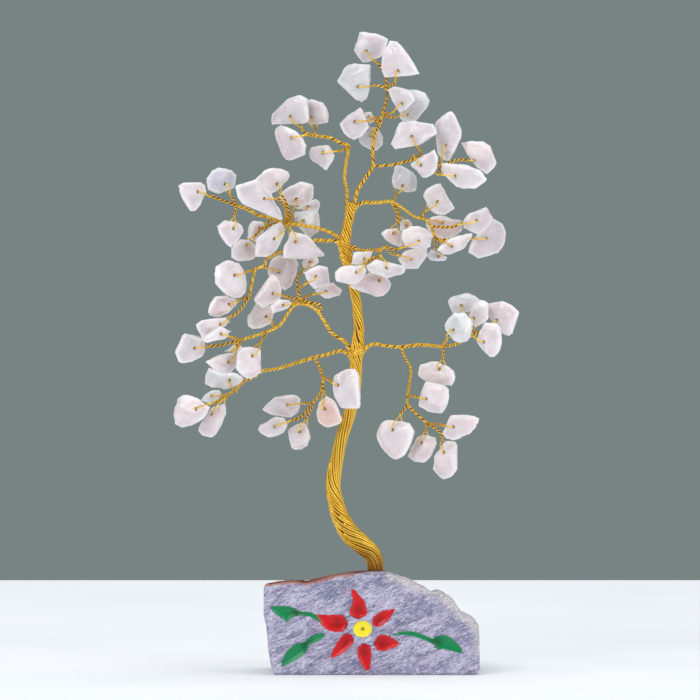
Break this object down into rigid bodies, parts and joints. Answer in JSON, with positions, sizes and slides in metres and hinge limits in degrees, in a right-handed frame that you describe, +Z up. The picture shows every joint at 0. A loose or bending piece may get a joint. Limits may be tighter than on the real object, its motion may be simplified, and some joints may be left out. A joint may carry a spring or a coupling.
{
  "type": "gemstone tree ornament",
  "caption": "Wire tree ornament: pale pink quartz chips threaded on twisted gold wire twigs, on a curved wire trunk glued into a sawn stone block with a carved and painted flower.",
  "frame": {"origin": "centre of the stone base's flat underside, on the surface that it stands on", "axes": "+Z up, +Y away from the viewer of the carved face, +X to the viewer's right"},
  "size_m": [0.1021, 0.0557, 0.1899],
  "materials": {
    "carved_stone": "sawn face, rough top",
    "petal_red": "glossy enamel",
    "leaf_green": "glossy enamel",
    "centre_yellow": "glossy enamel",
    "clear_glue": "clear adhesive",
    "gold_wire": "bright gold",
    "pink_quartz": "tumbled and polished",
    "clear_quartz": "tumbled and polished"
  },
  "bodies": {
    "tree": {"centre_cluster": "pink_quartz", "crown_branch": "gold_wire", "eye_paint": "centre_yellow", "foot_glue": "clear_glue", "inner_crown_cluster": "pink_quartz", "leaf_paint": "leaf_green", "left_cluster": "pink_quartz", "left_inner_cluster": "pink_quartz", "left_low_branch": "gold_wire", "left_low_cluster": "pink_quartz", "left_lower_branch": "gold_wire", "left_lower_cluster": "pink_quartz", "left_middle_branch": "gold_wire", "left_top_branch": "gold_wire", "left_upper_branch": "gold_wire", "petal_paint": "petal_red", "right_cluster": "pink_quartz", "right_inner_branch": "gold_wire", "right_low_branch": "gold_wire", "right_upper_branch": "gold_wire", "stone_base": "carved_stone", "trunk_bundle": "gold_wire"},
    "crown_chip_1": {"crown_chip_1": "pink_quartz"},
    "crown_chip_2": {"crown_chip_2": "pink_quartz"},
    "crown_chip_3": {"crown_chip_3": "clear_quartz"},
    "crown_chip_4": {"crown_chip_4": "pink_quartz"},
    "crown_chip_5": {"crown_chip_5": "pink_quartz"},
    "crown_chip_6": {"crown_chip_6": "pink_quartz"},
    "crown_chip_7": {"crown_chip_7": "pink_quartz"},
    "right_upper_chip_1": {"right_upper_chip_1": "clear_quartz"},
    "right_upper_chip_2": {"right_upper_chip_2": "pink_quartz"},
    "right_upper_chip_3": {"right_upper_chip_3": "pink_quartz"},
    "right_upper_chip_4": {"right_upper_chip_4": "pink_quartz"},
    "left_top_chip_1": {"left_top_chip_1": "pink_quartz"},
    "left_top_chip_2": {"left_top_chip_2": "pink_quartz"},
    "left_top_chip_3": {"left_top_chip_3": "pink_quartz"},
    "left_top_chip_4": {"left_top_chip_4": "pink_quartz"},
    "left_upper_chip_1": {"left_upper_chip_1": "pink_quartz"},
    "left_upper_chip_2": {"left_upper_chip_2": "clear_quartz"},
    "left_upper_chip_3": {"left_upper_chip_3": "pink_quartz"},
    "left_middle_chip_1": {"left_middle_chip_1": "pink_quartz"},
    "left_lower_chip_1": {"left_lower_chip_1": "pink_quartz"},
    "left_lower_chip_2": {"left_lower_chip_2": "pink_quartz"},
    "left_low_chip_1": {"left_low_chip_1": "pink_quartz"},
    "left_low_chip_2": {"left_low_chip_2": "pink_quartz"},
    "left_low_chip_3": {"left_low_chip_3": "pink_quartz"},
    "left_low_chip_4": {"left_low_chip_4": "pink_quartz"},
    "left_low_chip_5": {"left_low_chip_5": "pink_quartz"},
    "left_low_chip_6": {"left_low_chip_6": "pink_quartz"},
    "right_low_chip_1": {"right_low_chip_1": "pink_quartz"},
    "right_low_chip_2": {"right_low_chip_2": "pink_quartz"},
    "right_low_chip_3": {"right_low_chip_3": "clear_quartz"},
    "right_low_chip_4": {"right_low_chip_4": "pink_quartz"},
    "right_low_chip_5": {"right_low_chip_5": "pink_quartz"},
    "right_low_chip_6": {"right_low_chip_6": "pink_quartz"},
    "right_low_chip_7": {"right_low_chip_7": "pink_quartz"},
    "right_low_chip_8": {"right_low_chip_8": "pink_quartz"},
    "right_low_chip_9": {"right_low_chip_9": "pink_quartz"},
    "right_low_chip_10": {"right_low_chip_10": "pink_quartz"},
    "right_low_chip_11": {"right_low_chip_11": "pink_quartz"}
  },
  "joints": [
    {"name": "crown_chip_1_swing", "type": "hinge", "parent": "tree", "child": "crown_chip_1", "pos_m": [-0.0014, 0.00203, 0.18413], "axis": [0.1736, 0.9848, 0], "range_deg": [-12, 12]},
    {"name": "crown_chip_2_swing", "type": "hinge", "parent": "tree", "child": "crown_chip_2", "pos_m": [0.00803, -0.00565, 0.17869], "axis": [0.1736, 0.9848, 0], "range_deg": [-12, 12]},
    {"name": "crown_chip_3_swing", "type": "hinge", "parent": "tree", "child": "crown_chip_3", "pos_m": [-0.00376, -0.00042, 0.17366], "axis": [0.1736, 0.9848, 0], "range_deg": [-12, 12]},
    {"name": "crown_chip_4_swing", "type": "hinge", "parent": "tree", "child": "crown_chip_4", "pos_m": [0.01216, -0.00666, 0.15928], "axis": [0.1736, 0.9848, 0], "range_deg": [-12, 12]},
    {"name": "crown_chip_5_swing", "type": "hinge", "parent": "tree", "child": "crown_chip_5", "pos_m": [0.02204, -0.00353, 0.15644], "axis": [0.1736, 0.9848, 0], "range_deg": [-12, 12]},
    {"name": "crown_chip_6_swing", "type": "hinge", "parent": "tree", "child": "crown_chip_6", "pos_m": [0.03045, -0.00129, 0.15188], "axis": [0.1736, 0.9848, 0], "range_deg": [-12, 12]},
    {"name": "crown_chip_7_swing", "type": "hinge", "parent": "tree", "child": "crown_chip_7", "pos_m": [0.02484, -0.00718, 0.14751], "axis": [0.1736, 0.9848, 0], "range_deg": [-12, 12]},
    {"name": "right_upper_chip_1_swing", "type": "hinge", "parent": "tree", "child": "right_upper_chip_1", "pos_m": [0.00862, 0.01075, 0.1438], "axis": [-0.4226, 0.9063, 0], "range_deg": [-12, 12]},
    {"name": "right_upper_chip_2_swing", "type": "hinge", "parent": "tree", "child": "right_upper_chip_2", "pos_m": [0.01895, 0.0112, 0.13905], "axis": [-0.4226, 0.9063, 0], "range_deg": [-12, 12]},
    {"name": "right_upper_chip_3_swing", "type": "hinge", "parent": "tree", "child": "right_upper_chip_3", "pos_m": [0.03045, 0.01657, 0.13313], "axis": [-0.4226, 0.9063, 0], "range_deg": [-12, 12]},
    {"name": "right_upper_chip_4_swing", "type": "hinge", "parent": "tree", "child": "right_upper_chip_4", "pos_m": [0.0334, 0.02448, 0.12735], "axis": [-0.4226, 0.9063, 0], "range_deg": [-12, 12]},
    {"name": "left_top_chip_1_swing", "type": "hinge", "parent": "tree", "child": "left_top_chip_1", "pos_m": [-0.02323, 0.00988, 0.16449], "axis": [0.5, 0.866, 0], "range_deg": [-12, 12]},
    {"name": "left_top_chip_2_swing", "type": "hinge", "parent": "tree", "child": "left_top_chip_2", "pos_m": [-0.01704, 0.01281, 0.16402], "axis": [0.5, 0.866, 0], "range_deg": [-12, 12]},
    {"name": "left_top_chip_3_swing", "type": "hinge", "parent": "tree", "child": "left_top_chip_3", "pos_m": [-0.02293, 0.00482, 0.1583], "axis": [0.5, 0.866, 0], "range_deg": [-12, 12]},
    {"name": "left_top_chip_4_swing", "type": "hinge", "parent": "tree", "child": "left_top_chip_4", "pos_m": [-0.01379, 0.00443, 0.1539], "axis": [0.5, 0.866, 0], "range_deg": [-12, 12]},
    {"name": "left_upper_chip_1_swing", "type": "hinge", "parent": "tree", "child": "left_upper_chip_1", "pos_m": [-0.05184, -0.01823, 0.14345], "axis": [-0.3746, 0.9272, 0], "range_deg": [-12, 12]},
    {"name": "left_upper_chip_2_swing", "type": "hinge", "parent": "tree", "child": "left_upper_chip_2", "pos_m": [-0.04387, -0.01562, 0.14566], "axis": [-0.3746, 0.9272, 0], "range_deg": [-12, 12]},
    {"name": "left_upper_chip_3_swing", "type": "hinge", "parent": "tree", "child": "left_upper_chip_3", "pos_m": [-0.04151, -0.01619, 0.13242], "axis": [-0.3746, 0.9272, 0], "range_deg": [-12, 12]},
    {"name": "left_middle_chip_1_swing", "type": "hinge", "parent": "tree", "child": "left_middle_chip_1", "pos_m": [-0.04122, -0.01607, 0.11855], "axis": [-0.3746, 0.9272, 0], "range_deg": [-12, 12]},
    {"name": "left_lower_chip_1_swing", "type": "hinge", "parent": "tree", "child": "left_lower_chip_1", "pos_m": [-0.03591, -0.01727, 0.09473], "axis": [-0.3746, 0.9272, 0], "range_deg": [-12, 12]},
    {"name": "left_lower_chip_2_swing", "type": "hinge", "parent": "tree", "child": "left_lower_chip_2", "pos_m": [-0.05302, -0.01384, 0.09689], "axis": [-0.3746, 0.9272, 0], "range_deg": [-12, 12]},
    {"name": "left_low_chip_1_swing", "type": "hinge", "parent": "tree", "child": "left_low_chip_1", "pos_m": [-0.00937, -0.01097, 0.0858], "axis": [0.3746, 0.9272, 0], "range_deg": [-12, 12]},
    {"name": "left_low_chip_2_swing", "type": "hinge", "parent": "tree", "child": "left_low_chip_2", "pos_m": [-0.0135, -0.00292, 0.07825], "axis": [0.3746, 0.9272, 0], "range_deg": [-12, 12]},
    {"name": "left_low_chip_3_swing", "type": "hinge", "parent": "tree", "child": "left_low_chip_3", "pos_m": [-0.02441, 0.0094, 0.0787], "axis": [0.3746, 0.9272, 0], "range_deg": [-12, 12]},
    {"name": "left_low_chip_4_swing", "type": "hinge", "parent": "tree", "child": "left_low_chip_4", "pos_m": [-0.02824, 0.00486, 0.07248], "axis": [0.3746, 0.9272, 0], "range_deg": [-12, 12]},
    {"name": "left_low_chip_5_swing", "type": "hinge", "parent": "tree", "child": "left_low_chip_5", "pos_m": [-0.02087, 0.00705, 0.07087], "axis": [0.3746, 0.9272, 0], "range_deg": [-12, 12]},
    {"name": "left_low_chip_6_swing", "type": "hinge", "parent": "tree", "child": "left_low_chip_6", "pos_m": [-0.05184, 0.01196, 0.07736], "axis": [0.3746, 0.9272, 0], "range_deg": [-12, 12]},
    {"name": "right_low_chip_1_swing", "type": "hinge", "parent": "tree", "child": "right_low_chip_1", "pos_m": [0.0272, -0.00787, 0.10921], "axis": [0.4226, 0.9063, 0], "range_deg": [-12, 12]},
    {"name": "right_low_chip_2_swing", "type": "hinge", "parent": "tree", "child": "right_low_chip_2", "pos_m": [0.03074, -0.01574, 0.10585], "axis": [0.4226, 0.9063, 0], "range_deg": [-12, 12]},
    {"name": "right_low_chip_3_swing", "type": "hinge", "parent": "tree", "child": "right_low_chip_3", "pos_m": [0.02425, -0.01956, 0.10254], "axis": [0.4226, 0.9063, 0], "range_deg": [-12, 12]},
    {"name": "right_low_chip_4_swing", "type": "hinge", "parent": "tree", "child": "right_low_chip_4", "pos_m": [0.03782, -0.01282, 0.10508], "axis": [0.4226, 0.9063, 0], "range_deg": [-12, 12]},
    {"name": "right_low_chip_5_swing", "type": "hinge", "parent": "tree", "child": "right_low_chip_5", "pos_m": [0.03399, -0.02348, 0.09923], "axis": [0.4226, 0.9063, 0], "range_deg": [-12, 12]},
    {"name": "right_low_chip_6_swing", "type": "hinge", "parent": "tree", "child": "right_low_chip_6", "pos_m": [0.02042, -0.00937, 0.09043], "axis": [0.4226, 0.9063, 0], "range_deg": [-12, 12]},
    {"name": "right_low_chip_7_swing", "type": "hinge", "parent": "tree", "child": "right_low_chip_7", "pos_m": [0.01688, -0.01395, 0.08185], "axis": [0.4226, 0.9063, 0], "range_deg": [-12, 12]},
    {"name": "right_low_chip_8_swing", "type": "hinge", "parent": "tree", "child": "right_low_chip_8", "pos_m": [0.00685, -0.00865, 0.07239], "axis": [0.4226, 0.9063, 0], "range_deg": [-12, 12]},
    {"name": "right_low_chip_9_swing", "type": "hinge", "parent": "tree", "child": "right_low_chip_9", "pos_m": [0.01541, -0.0061, 0.06841], "axis": [0.4226, 0.9063, 0], "range_deg": [-12, 12]},
    {"name": "right_low_chip_10_swing", "type": "hinge", "parent": "tree", "child": "right_low_chip_10", "pos_m": [0.02484, -0.01704, 0.07378], "axis": [0.4226, 0.9063, 0], "range_deg": [-12, 12]},
    {"name": "right_low_chip_11_swing", "type": "hinge", "parent": "tree", "child": "right_low_chip_11", "pos_m": [0.02219, -0.00927, 0.06565], "axis": [0.4226, 0.9063, 0], "range_deg": [-12, 12]}
  ]
}
